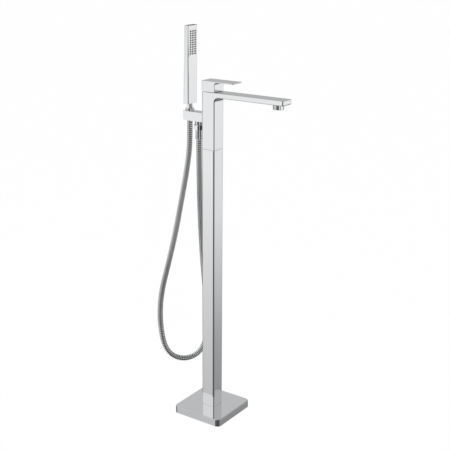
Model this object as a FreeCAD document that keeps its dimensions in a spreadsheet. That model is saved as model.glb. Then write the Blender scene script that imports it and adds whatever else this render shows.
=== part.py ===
"""Floor standing bath filler: square column, floor plate, flat spout, lever, and a handset on a hose.

Frame: millimetres, +Z up. The origin is on the floor, on the column's axis. +X is the way the spout points.
Every sub-part is an object of the document, and its sizes are bound to the sheet of driving dimensions.
"""
import FreeCAD, Part
import math
import os
import Sketcher
from FreeCAD import Placement, Rotation, Vector

# Driving dimensions, in millimetres unless a line says otherwise.
SIZES = {
    # column
    "column_width": 40,  # square section, outside
    "column_corner": 4,  # radius of its upright corners
    "column_wall": 2,
    "seam_gasket_height": 1,
    "seam_gasket_inset": 0.3,
    "sleeve_length": 70,  # the inner sleeve that joins column and body
    "sleeve_wall": 1.5,
    "fit_gap": 0.05,  # between pieces that are fixed in one another
    # floor plate
    "plate_width": 150,
    "plate_height": 20,
    "plate_corner": 12,
    "plate_edge": 1.5,
    "plate_wall": 3,
    "plate_gap": 0.3,  # between the plate and the column
    "plate_seal_width": 4,
    "plate_seal_height": 3,
    "gasket_height": 2,
    "flange_width": 126,
    "flange_height": 8,
    "flange_corner": 8,
    "opening_margin": 0.8,  # round the supply nuts
    "anchor_spacing": 100,
    "anchor_hole": 4.5,  # radius
    "tongue_width": 16,
    "tongue_height": 40,
    "tongue_wall": 3,
    "column_screw_radius": 2.5,
    "column_screw_head": 4,
    "column_screw_length": 6.5,
    "column_screw_rise": 4,  # above the flange
    "sleeve_screw_radius": 2,
    "sleeve_screw_head": 3.4,
    "sleeve_screw_length": 5,
    "countersink": 1.4,
    # water supply
    "pipe_radius": 5,
    "pipe_wall": 1,
    "pipe_offset_x": 2,
    "pipe_offset_y": 11,
    "pipe_socket_depth": 16,
    "supply_nut_radius": 10.97,  # across the corners of a 19 mm hexagon
    "supply_nut_height": 9,
    "supply_nut_foot": 1,
    "supply_thread": 7.5,  # radius of the thread's wall
    "supply_thread_depth": 7.5,
    # spout body
    "body_top": 890,
    "body_length": 146.5,  # from the seam with the column to the top
    "body_edge": 2.5,
    "spout_reach": 220,
    "spout_thickness": 12.6,
    "spout_fillet": 12,
    "spout_end_corner": 3,
    "top_edge": 1,
    "waterway_width": 24,
    "waterway_height": 6,
    "waterway_roof": 3,
    "waterway_end": 11,  # past the middle of the aerator
    "riser_wall": 1.5,  # metal in front of the channel that feeds the spout
    "riser_depth": 2.5,
    "riser_width": 16,
    "feed_radius": 2.5,
    "port_offset_x": 5,
    "port_offset_y": 6.5,
    # cartridge
    "cartridge_depth": 54,  # of its bore, under the body's top
    "cartridge_seat": 8,  # depth of the ledge that carries its flange
    "cartridge_radius": 13.3,
    "cartridge_gap": 0.2,
    "cartridge_bore": 11.6,
    "cartridge_floor": 3,
    "cartridge_flange": 14.6,
    "cartridge_flange_height": 2.5,
    "cartridge_nut_radius": 14.8,
    "cartridge_nut_bore": 12.4,
    "disc_height": 4,
    "disc_recess": 8,
    "seal_height": 1.6,
    "seal_bore": 2.8,
    "seal_radius": 4.4,
    "turn_gap": 0.3,  # round what turns with the lever
    "turntable_rise": 0.4,  # above the body's top
    "lug_height": 9.6,
    "lug_length": 6,
    "lug_wall": 3,
    "slot_front": 3,
    "slot_depth": 5,
    "stem_width": 7.4,
    "stem_foot_depth": 4,  # how far the stem reaches under the body's top
    "stem_foot_back": 1,  # how far its foot reaches behind the pin
    "stem_foot_top": 1.5,  # where the full stem starts, above the body's top
    "pivot_offset": 10,  # the tilting pin, behind the column's axis
    "pivot_rise": 6,  # above the body's top
    "pin_radius": 1.5,
    # lever
    "lever_gap": 1,
    "lever_height": 27,
    "lever_reach": 75,
    "blade_thickness": 3,
    "lever_fillet": 6,
    "lever_corner": 2,
    "lever_edge": 1,
    "lever_cavity_x": 17,
    "lever_cavity_y": 15,
    "lever_cavity": 14,
    "lever_socket_depth": 8,
    "lever_relief": 8,  # length of the bevel under the lever's back edge
    "lever_tilt": 18,  # degrees
    "grub_radius": 2.5,
    "grub_depth": 1.5,
    # aerator
    "aerator_inset": 25,  # from the spout's end to its middle
    "aerator_radius": 13.5,
    "aerator_drop": 12.4,
    "aerator_thread": 11.9,
    "aerator_thread_length": 8,
    "aerator_bore": 10.5,
    "aerator_mouth": 9.2,
    "aerator_lip": 2,
    "aerator_edge": 0.8,
    "aerator_hole": 1.8,
    "aerator_hole_circle": 6,
    "aerator_insert_height": 17,
    "aerator_washer_bore": 8.5,
    "washer_height": 1.5,
    # diverter
    "diverter_offset": 5,  # behind the column's axis
    "diverter_bore": 6.5,
    "diverter_depth": 35,
    "diverter_bush_length": 10,
    "diverter_collar": 9,
    "diverter_collar_height": 2,
    "diverter_stem": 3,
    "diverter_stem_length": 43,
    "diverter_disc": 5.5,
    "diverter_disc_height": 3,
    "diverter_knob": 8.5,
    "diverter_knob_length": 12,
    "diverter_knob_gap": 1,
    # holder arm
    "arm_top": 833.5,
    "arm_height": 24,
    "arm_depth": 23,
    "arm_reach": 85,
    "arm_corner": 4,
    "arm_edge": 0.8,
    "seat_reach": 71.5,
    "seat_radius": 10.3,  # at the arm's top
    "seat_mouth": 8.5,  # at the arm's underside
    "slot_width": 15.6,
    "link_radius": 8,  # the hollow screw that fixes the arm
    "link_bore": 4.5,
    "link_inner": 7.5,  # how far it reaches into the body
    "link_outer": 10,  # and into the arm
    "arm_seal_depth": 2.2,
    "arm_seal_radius": 10.2,
    "water_radius": 4,
    # hose outlet
    "outlet_reach": 42.5,
    "outlet_collar": 11.2,
    "outlet_collar_height": 10,
    "outlet_collar_edge": 0.6,
    "outlet_spigot": 6.5,
    "outlet_spigot_length": 9,
    "outlet_bore": 12,  # depth of the hole for the spigot
    "half_inch_thread": 10.2,  # radius of a G1/2 thread
    "thread_gap": 0.08,
    "outlet_thread_length": 6.7,
    "check_valve_radius": 6,
    "check_valve_bore": 3,
    "check_valve_length": 9,
    "outlet_washer_height": 1.8,
    "outlet_washer_bore": 5,
    "hose_nut_radius": 14.43,  # across the corners of a 25 mm hexagon
    "hose_nut_flats": 12.5,
    "hose_nut_chamfer": 1.1,
    "hose_nut_height": 12,
    "hose_nut_floor": 2,
    "hose_nut_hole": 7.2,
    "hose_nut_gap": 0.3,  # between the nut and the collar
    "hose_neck": 7,
    "hose_neck_gap": 0.2,
    "hose_flange": 9.8,
    "hose_flange_height": 1.8,
    "ferrule_radius": 9.1,
    "ferrule_length": 25,
    "ferrule_edge": 0.8,
    "hose_bore": 4.5,
    # hose
    "hose_radius": 7.3,
    "hose_rib_depth": 0.9,
    "hose_rib_pitch": 13,
    "hose_end_drop": 1.5,  # the hose's upper end lies this far under the arm
    # hose end in the holder
    "nut_rim": 11.5,
    "nut_rim_height": 6.5,
    "nut_top": 10,
    "nut_foot": 8.2,
    "nut_drop": 22,
    "nut_edge": 0.5,
    "end_ferrule_radius": 7.4,
    "end_ferrule_length": 9,
    "nut_foot_bore": 7.55,
    "nut_foot_bore_height": 6.5,
    "nut_neck_bore": 5,
    "tail_radius": 4.4,
    "tail_bore": 3.5,
    "tail_start": 4,  # above the hose's end
    "tail_flange": 8.8,
    "tail_flange_height": 2.5,
    "tail_top": 1.5,  # under the arm's top
    "nut_chamber": 9,
    "nut_chamber_drop": 5,
    "hose_washer_height": 2,
    # handset
    "connector_thread_length": 5.6,
    "connector_rise": 0.5,  # from the arm's top to the thread's foot
    "connector_height": 12.5,  # the cone that shows above the nut
    "connector_foot": 9.15,
    "connector_neck": 6.8,
    "connector_spigot": 6.5,
    "connector_spigot_length": 12,
    "connector_bore": 4,
    "handset_length": 197.5,
    "handset_foot_width": 36.5,
    "handset_head_width": 39.5,
    "handset_foot_depth": 16,
    "handset_head_depth": 13,
    "handset_foot_offset": 1,  # the foot's middle, forward of the hose's axis
    "handset_head_offset": 4.7,
    "handset_edge": 2,
    "handset_top_edge": 1.2,
    "handset_waterway": 3.5,
    "handset_waterway_offset": 2.5,
    "spray_width": 32,
    "spray_height": 68,
    "spray_margin": 9,  # from the handset's top
    "spray_front": 11.5,  # forward of the hose's axis
    "spray_plate_height": 2.5,
    "chamber_margin": 2,
    "chamber_height": 3,
    "nozzle_rows": 11,  # count
    "nozzle_columns": 4,  # count
    "nozzle_pitch_z": 5.6,
    "nozzle_pitch_y": 7.1,
    "nozzle_radius": 2.25,  # across its corners
    "nozzle_hole": 2.5,
    "nozzle_proud": 0.4,
    "mat_height": 1.8,
}
HOSE_NUT_TURN = 50  # degrees
BEND_SHARE = 0.45  # of the shorter run, on each side of a bend
# Free points of the hose's centre line, in millimetres, chosen to follow the photographed loop.
DROP_POINTS = [
    (-43.5, 6, 545),
    (-41, 12, 435),
    (-37, 20, 335),
    (-33, 25, 270),
    (-34, 24.5, 222),
    (-39, 19, 181),
    (-53, 4, 151),
]
LOOP_POINT = (-76.5, -21, 140)
RISER_POINTS = [
    (-100, -46, 151),
    (-115, -62, 181),
    (-121, -69, 226),
    (-123.5, -72, 285),
    (-117, -70, 350),
    (-99, -66, 420),
    (-85, -50, 508),
    (-76, -32, 604),
    (-72.5, -10, 690),
]
DROP_STRAIGHT = 95  # the upright runs at the two ends of the hose
RISER_STRAIGHT = 58


class Size:
    """A length that knows its number and the formula that gives it from the sheet."""

    def __init__(self, number, text):
        self.number = float(number)
        self.text = text

    def __float__(self):
        return self.number

    def __neg__(self):
        return Size(-self.number, f"(-{self.text})")

    def __add__(self, other):
        other = sized(other)
        return Size(self.number + other.number, f"({self.text} + {other.text})")

    def __sub__(self, other):
        other = sized(other)
        return Size(self.number - other.number, f"({self.text} - {other.text})")

    def __rsub__(self, other):
        return sized(other) - self

    def __mul__(self, other):
        other = sized(other)
        return Size(self.number * other.number, f"({self.text} * {other.text})")

    def __truediv__(self, other):
        other = sized(other)
        return Size(self.number / other.number, f"({self.text} / {other.text})")

    __radd__ = __add__
    __rmul__ = __mul__


def sized(value):
    """A plain number as a Size, so that both can stand in one sum."""
    if isinstance(value, Size):
        return value
    return Size(value, f"{float(value):g}" if value >= 0 else f"(-{-float(value):g})")


class Sheet:
    """The spreadsheet of driving dimensions: each is an attribute, such as size.column_width."""

    def __init__(self, document):
        self.cells = document.addObject("Spreadsheet::Sheet", "sizes")
        for row, (name, number) in enumerate(SIZES.items(), start=1):
            self.cells.set(f"A{row}", name)
            self.cells.set(f"B{row}", str(number))
            self.cells.setAlias(f"B{row}", name)
            setattr(self, name, Size(number, f"sizes.{name}"))


doc = FreeCAD.newDocument("BathFiller")
size = Sheet(doc)
doc.recompute()
nodes = {}
TURNS = {
    "X": Rotation(Vector(0, 1, 0), 90),
    "Y": Rotation(Vector(1, 0, 0), -90),
    "Z": Rotation(),
}


def bind(item, **formulas):
    """Tie properties of a document object to formulas on the sheet."""
    for name, value in formulas.items():
        item.setExpression(name.replace("__", "."), sized(value).text)


class Piece:
    """One physical piece: a PartDesign body whose features are added one after another."""

    def __init__(self, name, x=0, y=0, z=0):
        self.name = name
        self.body = doc.addObject("PartDesign::Body", name)
        self.body.Label = name
        bind(self.body, Placement__Base__x=x, Placement__Base__y=y, Placement__Base__z=z)
        nodes[name] = self.body

    def feature(self, kind, cut, turn, place, **formulas):
        stem = "Subtractive" if cut else "Additive"
        item = self.body.newObject(f"PartDesign::{stem}{kind}", f"{self.name}_{kind.lower()}")
        item.Placement = Placement(Vector(), turn)
        x, y, z = place
        bind(item, Placement__Base__x=x, Placement__Base__y=y, Placement__Base__z=z, **formulas)
        return item

    def box(self, x, y, z, cut=False):
        """A block between the two ends given for each axis."""
        spans = {"Length": x[1] - sized(x[0]), "Width": y[1] - sized(y[0]), "Height": z[1] - sized(z[0])}
        return self.feature("Box", cut, TURNS["Z"], (x[0], y[0], z[0]), **spans)

    def cylinder(self, radius, start, length, along="Z", cut=False):
        """A round bar or hole that starts at a point and runs along an axis."""
        return self.feature("Cylinder", cut, TURNS[along], start, Radius=radius, Height=length)

    def cone(self, low, high, start, length, along="Z", cut=False):
        return self.feature("Cone", cut, TURNS[along], start, Radius1=low, Radius2=high, Height=length)

    def hexagon(self, corner_radius, start, length, along="Z", degrees=0, cut=False):
        turn = TURNS[along] * Rotation(Vector(0, 0, 1), degrees)
        item = self.feature("Prism", cut, turn, start, Circumradius=corner_radius, Height=length)
        item.Polygon = 6
        return item

    def sketch(self, plane, points, lift=0):
        """A closed polygon whose corners are all bound to the sheet."""
        drawing = self.body.newObject("Sketcher::SketchObject", f"{self.name}_profile")
        base = next(item for item in self.body.Origin.OriginFeatures if item.Role == plane)
        drawing.AttachmentSupport = [(base, "")]
        drawing.MapMode = "FlatFace"
        bind(drawing, AttachmentOffset__Base__z=lift)
        corners = [Vector(float(sized(a)), float(sized(b)), 0) for a, b in points]
        count = len(corners)
        for index in range(count):
            drawing.addGeometry(Part.LineSegment(corners[index], corners[(index + 1) % count]))
        for index in range(count):
            drawing.addConstraint(Sketcher.Constraint("Coincident", index, 2, (index + 1) % count, 1))
        for index, corner in enumerate(points):
            for kind, value in zip(("DistanceX", "DistanceY"), corner):
                value = sized(value)
                rule = drawing.addConstraint(Sketcher.Constraint(kind, -1, 1, index, 1, value.number))
                drawing.setExpression(f"Constraints[{rule}]", value.text)
        return drawing

    def turned(self, points, cut=False):
        """A turned shape: radius and height of each corner of its half section."""
        drawing = self.sketch("XZ_Plane", points)
        kind = "Groove" if cut else "Revolution"
        item = self.body.newObject(f"PartDesign::{kind}", f"{self.name}_turned")
        item.Profile = drawing
        item.ReferenceAxis = (drawing, ["V_Axis"])
        item.Angle = 360
        return item

    def wedge(self, low_x, low_y, high_x, high_y, z):
        """A tapered block: its outline at the foot, at the head, and its two heights."""
        item = self.body.newObject("PartDesign::AdditiveWedge", f"{self.name}_wedge")
        item.Placement = Placement(Vector(), Rotation(Vector(1, 0, 0), 90))
        limits = {"Xmin": low_x[0], "Xmax": low_x[1], "X2min": high_x[0], "X2max": high_x[1]}
        limits.update({"Zmin": low_y[0], "Zmax": low_y[1], "Z2min": high_y[0], "Z2max": high_y[1]})
        bind(item, Ymin=z[0], Ymax=z[1], **limits)
        return item

    def grid(self, feature, columns, pitch_y, rows, pitch_z):
        """Copies of a feature in columns along Y and rows along Z."""
        group = self.body.newObject("PartDesign::MultiTransform", f"{self.name}_grid")
        group.Originals = [feature]
        steps = []
        for role, count, pitch in (("Y_Axis", columns, pitch_y), ("Z_Axis", rows, pitch_z)):
            axis = next(item for item in self.body.Origin.OriginFeatures if item.Role == role)
            step = self.body.newObject("PartDesign::LinearPattern", f"{self.name}_step")
            step.Direction = (axis, [""])
            step.Mode = "Spacing"
            bind(step, Occurrences=count, Offset=pitch)
            steps.append(step)
        group.Transformations = steps
        self.body.Tip = group
        return group

    def rounded(self, radius, chosen):
        """Round the edges whose box passes a test."""
        doc.recompute()
        base = self.body.Tip
        edges = enumerate(base.Shape.Edges, start=1)
        names = [f"Edge{index}" for index, edge in edges if chosen(edge.BoundBox)]
        item = self.body.newObject("PartDesign::Fillet", f"{self.name}_round")
        item.Base = (base, names)
        bind(item, Radius=radius)
        return item

    def shelled(self, wall, chosen):
        """Hollow the solid out through the faces whose box passes a test."""
        doc.recompute()
        base = self.body.Tip
        faces = enumerate(base.Shape.Faces, start=1)
        names = [f"Face{index}" for index, face in faces if chosen(face.BoundBox)]
        item = self.body.newObject("PartDesign::Thickness", f"{self.name}_shell")
        item.Base = (base, names)
        item.Reversed = True
        bind(item, Value=wall)
        return item


def near(first, second):
    return abs(float(first) - float(second)) < 0.02


def upright(box):
    """An edge that runs straight up."""
    return box.ZLength > 0.5 and box.XLength < 0.02 and box.YLength < 0.02


def square_corner(box, half_width):
    """An edge at a corner of a square about the column's axis."""
    return near(abs(box.XMin), half_width) and near(abs(box.YMin), half_width)


def inner_bend(box, height):
    """The edge where the column's front meets the underside of what reaches forward."""
    return near(box.XMin, half) and near(box.XMax, half) and near(box.ZMin, height) and near(box.ZMax, height)


def long_top_edge(box, height):
    return near(box.ZMin, height) and box.DiagonalLength > float(half)


def about(middle, reach):
    """A span to both sides of a middle."""
    return (middle - reach, middle + reach)


def ring(name, inner, outer, low, high, **place):
    """A plain ring or tube about a vertical axis."""
    piece = Piece(name, **place)
    piece.turned([(inner, low), (outer, low), (outer, high), (inner, high)])
    return piece


def copies(name, unit, places):
    """Several identical pieces of one node: linked copies of a body, as separate solids."""
    del nodes[unit.name]
    links = []
    for x, y, z, turn in places:
        link = doc.addObject("App::Link", f"{name}_copy")
        link.LinkedObject = unit.body
        link.LinkTransform = False
        link.Placement = Placement(Vector(), turn)
        bind(link, Placement__Base__x=x, Placement__Base__y=y, Placement__Base__z=z)
        links.append(link)
    group = doc.addObject("Part::Compound", name)
    group.Label = name
    group.Links = links
    nodes[name] = group


# Heights and half widths that the sizes give.
half = size.column_width / 2
gap = size.fit_gap
inner_half = half - size.column_wall
body_top = size.body_top + 0
body_foot = body_top - size.body_length
column_foot = size.gasket_height + size.flange_height
column_top = body_foot - size.seam_gasket_height
sleeve_half = inner_half - gap
sleeve_foot = body_foot - size.sleeve_length / 2
sleeve_top = body_foot + size.sleeve_length / 2
pocket_top = sleeve_top + 1
socket_top = pocket_top + size.pipe_socket_depth
spout_under = body_top - size.spout_thickness
waterway_top = body_top - size.waterway_roof
waterway_low = waterway_top - size.waterway_height
cartridge_low = body_top - size.cartridge_depth
arm_low = size.arm_top - size.arm_height
water_level = size.arm_top - size.arm_height / 2
PIPES = [(size.pipe_offset_x, size.pipe_offset_y * side) for side in (1, -1)]
PORTS = [(size.port_offset_x, size.port_offset_y * side) for side in (1, -1)]
MIXED = (-size.diverter_offset, 0)
aerator_x = size.spout_reach - size.aerator_inset
seat_x = -size.seat_reach
outlet_x = -size.outlet_reach


# ---- column and floor plate ---------------------------------------------------------------------------
column = Piece("column_tube")
column.box((-half, half), (-half, half), (column_foot, column_top))
column.rounded(size.column_corner, upright)
column.box((-inner_half, inner_half), (-inner_half, inner_half), (column_foot, column_top), cut=True)
inner_corner = size.column_corner - size.column_wall
column.rounded(inner_corner, lambda box: upright(box) and square_corner(box, inner_half))
screw_height = column_foot + size.column_screw_rise
sink = size.countersink
hole = size.column_screw_radius + gap
head = size.column_screw_head + gap
column.cylinder(hole, (-half, 0, screw_height), size.column_width, along="X", cut=True)
column.cone(head, hole, (-half, 0, screw_height), sink, along="X", cut=True)
column.cone(hole, head, (half - sink, 0, screw_height), sink, along="X", cut=True)
lower_screw = body_foot - size.sleeve_length / 4
upper_screw = body_foot + size.sleeve_length / 4
sleeve_hole = size.sleeve_screw_radius + gap
sleeve_head = size.sleeve_screw_head + gap
column.cylinder(sleeve_hole, (-half, 0, lower_screw), size.column_wall + 1, along="X", cut=True)
column.cone(sleeve_head, sleeve_hole, (-half, 0, lower_screw), sink, along="X", cut=True)

gasket = Piece("seam_gasket")
edge = half - size.seam_gasket_inset
gasket.box((-edge, edge), (-edge, edge), (column_top, body_foot))
gasket.rounded(size.column_corner, upright)
gasket.box((-inner_half, inner_half), (-inner_half, inner_half), (column_top, body_foot), cut=True)

sleeve = Piece("column_sleeve")
sleeve_inner = sleeve_half - size.sleeve_wall
sleeve.box((-sleeve_half, sleeve_half), (-sleeve_half, sleeve_half), (sleeve_foot, sleeve_top))
sleeve.rounded(inner_corner, upright)
sleeve.box((-sleeve_inner, sleeve_inner), (-sleeve_inner, sleeve_inner), (sleeve_foot, sleeve_top), cut=True)
for height in (lower_screw, upper_screw):
    sleeve.cylinder(sleeve_hole, (-sleeve_half, 0, height), size.sleeve_wall, along="X", cut=True)


def sunk_screw(name, radius, top, length):
    """A countersunk screw, its head's face at the origin and its shank downwards."""
    screw = Piece(name)
    screw.turned([(0, -length), (radius, -length), (radius, -sink), (top, 0), (0, 0)])
    return screw


LEFT = Rotation(Vector(0, 1, 0), -90)
RIGHT = Rotation(Vector(0, 1, 0), 90)
unit = sunk_screw("column_screw", size.column_screw_radius, size.column_screw_head, size.column_screw_length)
copies("column_screws", unit, [(half, 0, screw_height, RIGHT), (-half, 0, screw_height, LEFT)])
unit = sunk_screw("sleeve_screw", size.sleeve_screw_radius, size.sleeve_screw_head, size.sleeve_screw_length)
copies("sleeve_screws", unit, [(-half, 0, lower_screw, LEFT), (-half, 0, upper_screw, LEFT)])

plate_half = size.plate_width / 2
cover = Piece("base_cover")
cover.box((-plate_half, plate_half), (-plate_half, plate_half), (0, size.plate_height))
cover.rounded(size.plate_corner, upright)
cover.shelled(size.plate_wall, lambda box: box.ZMax < 0.01)
cover.rounded(size.plate_edge, lambda box: near(box.ZMin, size.plate_height) and box.DiagonalLength > 5)
opening = half + size.plate_gap
cover_roof = size.plate_height - size.plate_wall
cover.box((-opening, opening), (-opening, opening), (cover_roof, size.plate_height), cut=True)
cover.rounded(size.column_corner + size.plate_gap, lambda box: upright(box) and near(abs(box.XMin), opening))

seal = Piece("cover_seal")
seal_half = half + size.plate_seal_width
seal_low = cover_roof - size.plate_seal_height
seal.box((-seal_half, seal_half), (-seal_half, seal_half), (seal_low, cover_roof))
seal.rounded(size.column_corner + size.plate_seal_width, upright)
seal.box((-half, half), (-half, half), (seal_low, cover_roof), cut=True)
seal.rounded(size.column_corner, lambda box: upright(box) and square_corner(box, half))

flange_half = size.flange_width / 2
nut_room = size.supply_nut_radius + size.opening_margin
opening_x = about(size.pipe_offset_x, nut_room)
opening_y = (-size.pipe_offset_y - nut_room, size.pipe_offset_y + nut_room)
anchor = size.anchor_spacing / 2
SLABS = {"floor_gasket": (0, size.gasket_height), "floor_flange": (size.gasket_height, size.flange_height)}
for name, (low, height) in SLABS.items():
    slab = Piece(name)
    high = low + height
    slab.box((-flange_half, flange_half), (-flange_half, flange_half), (low, high))
    slab.rounded(size.flange_corner, upright)
    slab.box(opening_x, opening_y, (low, high), cut=True)
    slab.rounded(size.flange_corner, lambda box: upright(box) and abs(box.XMin) < float(nut_room) + 5)
    for side_x in (1, -1):
        for side_y in (1, -1):
            slab.cylinder(size.anchor_hole, (anchor * side_x, anchor * side_y, low), height, cut=True)
tongue_top = column_foot + size.tongue_height
tongue_inner = sleeve_half - size.tongue_wall
tongue_half = size.tongue_width / 2
for span in ((tongue_inner, sleeve_half), (-sleeve_half, -tongue_inner)):
    slab.box(span, (-tongue_half, tongue_half), (column_foot, tongue_top))
slab.cylinder(hole, (-sleeve_half, 0, screw_height), sleeve_half * 2, along="X", cut=True)

# ---- water supply -------------------------------------------------------------------------------------
thread_top = size.supply_nut_foot + size.supply_thread_depth
nut_top = size.supply_nut_foot + size.supply_nut_height
pipe_bore = size.pipe_radius - size.pipe_wall
for name, (x, y) in zip(("hot", "cold"), PIPES):
    ring(f"{name}_supply_pipe", pipe_bore, size.pipe_radius, thread_top, socket_top, x=x, y=y)
    nut = Piece(f"{name}_supply_nut", x=x, y=y)
    nut.hexagon(size.supply_nut_radius, (0, 0, size.supply_nut_foot), size.supply_nut_height)
    nut.cylinder(size.supply_thread, (0, 0, size.supply_nut_foot), size.supply_thread_depth, cut=True)
    nut.cylinder(size.pipe_radius + gap, (0, 0, thread_top), nut_top - thread_top, cut=True)

# ---- spout body ---------------------------------------------------------------------------------------
body = Piece("spout_body")
body.box((-half, half), (-half, half), (body_foot, body_top))
body.box((0, size.spout_reach), (-half, half), (spout_under, body_top))
body.rounded(size.spout_fillet, lambda box: inner_bend(box, spout_under))
body.rounded(size.column_corner, lambda box: upright(box) and near(box.XMin, -half))
body.rounded(size.spout_end_corner, lambda box: upright(box) and near(box.XMin, size.spout_reach))
body.rounded(size.body_edge, lambda box: upright(box) and near(box.XMin, half))
body.rounded(size.top_edge, lambda box: long_top_edge(box, body_top))
body.box((-inner_half, inner_half), (-inner_half, inner_half), (body_foot, pocket_top), cut=True)
for x, y in PIPES:
    body.cylinder(size.pipe_radius + gap, (x, y, pocket_top), size.pipe_socket_depth, cut=True)
port_low = socket_top - size.feed_radius
for x, y in PORTS:
    body.cylinder(size.feed_radius, (x, y, port_low), cartridge_low - port_low, cut=True)
body.cylinder(size.feed_radius, (*MIXED, water_level), cartridge_low - water_level, cut=True)
cartridge_hole = size.cartridge_radius + size.cartridge_gap
body.cylinder(cartridge_hole, (0, 0, cartridge_low), size.cartridge_depth, cut=True)
nut_seat = body_top - size.cartridge_seat
body.cylinder(size.cartridge_nut_radius + size.thread_gap, (0, 0, nut_seat), size.cartridge_seat, cut=True)
diverter_x = -size.diverter_offset
diverter_end = (diverter_x, half - size.diverter_depth, water_level)
body.cylinder(size.diverter_bore, diverter_end, size.diverter_depth, along="Y", cut=True)
riser_front = half - size.riser_wall
riser_back = riser_front - size.riser_depth
riser_half = size.riser_width / 2
body.cylinder(size.feed_radius, (diverter_x, 0, water_level), riser_front - diverter_x, along="X", cut=True)
riser_low = water_level - size.feed_radius
body.box((riser_back, riser_front), (-riser_half, riser_half), (riser_low, waterway_top), cut=True)
waterway_half = size.waterway_width / 2
waterway_far = aerator_x + size.waterway_end
body.box((riser_back, waterway_far), (-waterway_half, waterway_half), (waterway_low, waterway_top), cut=True)
aerator_hole = size.aerator_thread + size.thread_gap
body.cylinder(aerator_hole, (aerator_x, 0, spout_under), waterway_top - spout_under, cut=True)
body.cylinder(size.water_radius, (-half, 0, water_level), half + diverter_x, along="X", cut=True)
body.cylinder(size.link_radius + gap, (-half, 0, water_level), size.link_inner, along="X", cut=True)
body.cylinder(sleeve_hole, (-half, 0, upper_screw), size.column_wall + 1, along="X", cut=True)
body.cone(sleeve_head, sleeve_hole, (-half, 0, upper_screw), sink, along="X", cut=True)

# ---- cartridge ----------------------------------------------------------------------------------------
case_low = cartridge_low + size.seal_height
case_floor = case_low + size.cartridge_floor
flange_top = nut_seat + size.cartridge_flange_height
case = Piece("cartridge_case")
case.turned([
    (0, case_low), (size.cartridge_radius, case_low), (size.cartridge_radius, nut_seat),
    (size.cartridge_flange, nut_seat), (size.cartridge_flange, flange_top),
    (size.cartridge_bore, flange_top), (size.cartridge_bore, case_floor), (0, case_floor),
])
fixed_disc = Piece("ceramic_fixed_disc")
disc_top = case_floor + size.disc_height
fixed_disc.cylinder(size.cartridge_bore - size.turn_gap, (0, 0, case_floor), size.disc_height)
for x, y in (*PORTS, MIXED):
    case.cylinder(size.feed_radius, (x, y, case_low), size.cartridge_floor, cut=True)
    fixed_disc.cylinder(size.feed_radius, (x, y, case_floor), size.disc_height, cut=True)
turning_disc = Piece("ceramic_turning_disc")
turntable_low = disc_top + size.disc_height
barrel = size.cartridge_bore - size.turn_gap
turning_disc.cylinder(barrel, (0, 0, disc_top), size.disc_height)
turning_disc.cylinder(size.disc_recess, (0, 0, disc_top), size.disc_height / 2, cut=True)
unit = ring("cartridge_seal", size.seal_bore, size.seal_radius, 0, size.seal_height)
copies("cartridge_seals", unit, [(x, y, cartridge_low, Rotation()) for x, y in (*PORTS, MIXED)])
ring("cartridge_nut", size.cartridge_nut_bore, size.cartridge_nut_radius, flange_top, body_top)

turntable = Piece("cartridge_turntable")
table_low = flange_top + size.turn_gap
table_top = body_top + size.turntable_rise
table = size.cartridge_nut_bore - size.turn_gap
turntable.turned([
    (0, turntable_low), (barrel, turntable_low), (barrel, table_low),
    (table, table_low), (table, table_top), (0, table_top),
])
slot_half = size.stem_width / 2 + size.turn_gap
slot_low = table_top - size.slot_depth
turntable.box((-table - 1, -size.slot_front), (-slot_half, slot_half), (slot_low, table_top), cut=True)
pivot_x = -size.pivot_offset
pivot_z = body_top + size.pivot_rise
lug_x = (pivot_x - size.lug_length / 2, pivot_x + size.lug_length / 2)
lug_outer = slot_half + size.lug_wall
lug_top = table_top + size.lug_height
for span in ((slot_half, lug_outer), (-lug_outer, -slot_half)):
    turntable.box(lug_x, span, (table_top, lug_top))
pin_hole = size.pin_radius + gap
turntable.cylinder(pin_hole, (pivot_x, -lug_outer, pivot_z), lug_outer * 2, along="Y", cut=True)
pin = Piece("pivot_pin")
pin.cylinder(size.pin_radius, (pivot_x, -lug_outer, pivot_z), lug_outer * 2, along="Y")

# ---- lever --------------------------------------------------------------------------------------------
lever_low = body_top + size.lever_gap
lever_top = lever_low + size.lever_height
cavity_top = lever_low + size.lever_cavity
socket_roof = cavity_top + size.lever_socket_depth
stem_half = size.stem_width / 2
stem = Piece("lever_stem")
foot_top = body_top + size.stem_foot_top
stem.box((pivot_x - stem_half, pivot_x + stem_half), (-stem_half, stem_half), (foot_top, socket_roof))
stem_foot_x = (pivot_x - size.stem_foot_back, pivot_x + stem_half)
stem.box(stem_foot_x, (-stem_half, stem_half), (body_top - size.stem_foot_depth, foot_top))
stem.cylinder(pin_hole, (pivot_x, -stem_half, pivot_z), size.stem_width, along="Y", cut=True)

lever = Piece("lever")
lever.box((-half, half), (-half, half), (lever_low, lever_top))
blade_low = lever_top - size.blade_thickness
lever.box((0, size.lever_reach), (-half, half), (blade_low, lever_top))
lever.rounded(size.lever_fillet, lambda box: inner_bend(box, blade_low))
for end in (-half, size.lever_reach):
    lever.rounded(size.lever_corner, lambda box: upright(box) and near(box.XMin, end))
lever.rounded(size.lever_edge, lambda box: upright(box) and near(box.XMin, half))
lever.rounded(size.lever_edge, lambda box: long_top_edge(box, lever_top))
relief_front = half - size.lever_relief
relief_turn = Rotation(Vector(0, 1, 0), 180 + SIZES["lever_tilt"])
relief_size = {"Length": size.lever_relief * 1.5, "Width": size.column_width, "Height": size.lever_relief / 2}
lever.feature("Box", True, relief_turn, (-relief_front, -half, lever_low), **relief_size)
cavity_x = size.lever_cavity_x
cavity_y = size.lever_cavity_y
lever.box((-cavity_x, cavity_x), (-cavity_y, cavity_y), (lever_low, cavity_top), cut=True)
socket = stem_half + gap
lever.box((pivot_x - socket, pivot_x + socket), (-socket, socket), (cavity_top, socket_roof), cut=True)
grub_height = cavity_top + size.lever_socket_depth / 2
grub_hole = size.grub_radius + gap
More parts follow.
